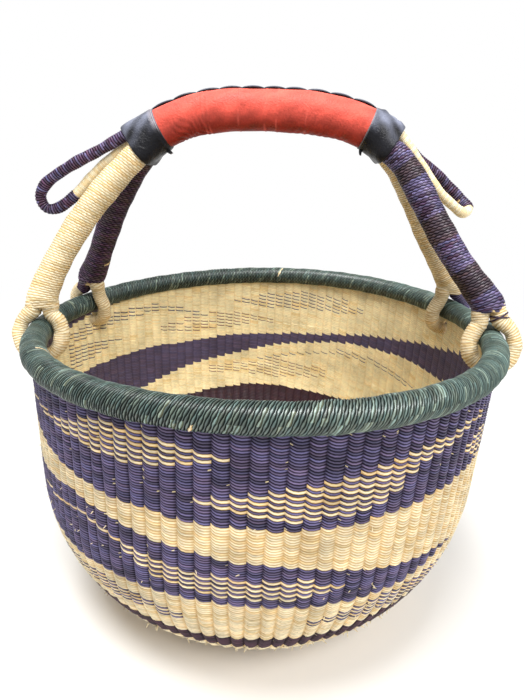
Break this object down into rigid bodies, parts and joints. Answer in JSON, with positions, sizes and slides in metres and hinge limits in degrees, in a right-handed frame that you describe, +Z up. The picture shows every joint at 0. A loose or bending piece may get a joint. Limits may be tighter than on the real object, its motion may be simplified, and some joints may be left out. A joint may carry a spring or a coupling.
{
  "type": "woven basket",
  "caption": "Round basket twined from dyed and natural grass, with a bound rim and a leather-covered carrying handle whose looped feet hold the rim.",
  "frame": {"origin": "middle of the flat base, on the surface that the basket stands on", "axes": "+Z up, +X along the carrying handle to the right as seen in the picture, +Y to the back"},
  "size_m": [0.408, 0.3942, 0.4254],
  "materials": {
    "natural_grass": "matt dry grass, twined and wound",
    "purple_grass": "dark violet dyed grass with a soft sheen",
    "green_grass": "dark green dyed grass, closely wound",
    "plain_straw": "loose dry straw in a tight bundle",
    "red_leather": "goatskin, dyed terracotta red, glossy from handling",
    "black_leather": "thin black goatskin"
  },
  "bodies": {
    "basket": {"woven_bowl": "natural_grass", "rim_core": "plain_straw", "rim_binding": "green_grass"},
    "handle": {"hoop_core_natural": "plain_straw", "hoop_core_purple": "plain_straw", "leg_binding_front_left": "natural_grass", "leg_binding_back_left": "purple_grass", "leg_binding_front_right": "purple_grass", "leg_binding_back_right": "natural_grass", "grip_padding": "plain_straw", "grip_leather": "red_leather", "grip_lace": "black_leather", "collar_left": "black_leather", "collar_right": "black_leather", "ear_core_left": "plain_straw", "ear_core_right": "plain_straw", "ear_binding_purple_left": "purple_grass", "ear_binding_purple_right": "purple_grass", "ear_binding_natural_left": "natural_grass", "ear_binding_natural_right": "natural_grass", "foot_core_front_left": "plain_straw", "foot_binding_front_left": "natural_grass", "foot_core_back_left": "plain_straw", "foot_binding_back_left": "natural_grass", "foot_core_front_right": "plain_straw", "foot_binding_front_right": "natural_grass", "foot_core_back_right": "plain_straw", "foot_binding_back_right": "natural_grass"}
  },
  "joints": [
    {"name": "handle_lift", "type": "slide", "parent": "basket", "child": "handle", "axis": [0, 0, 1], "range_m": [0, 0.004]}
  ]
}
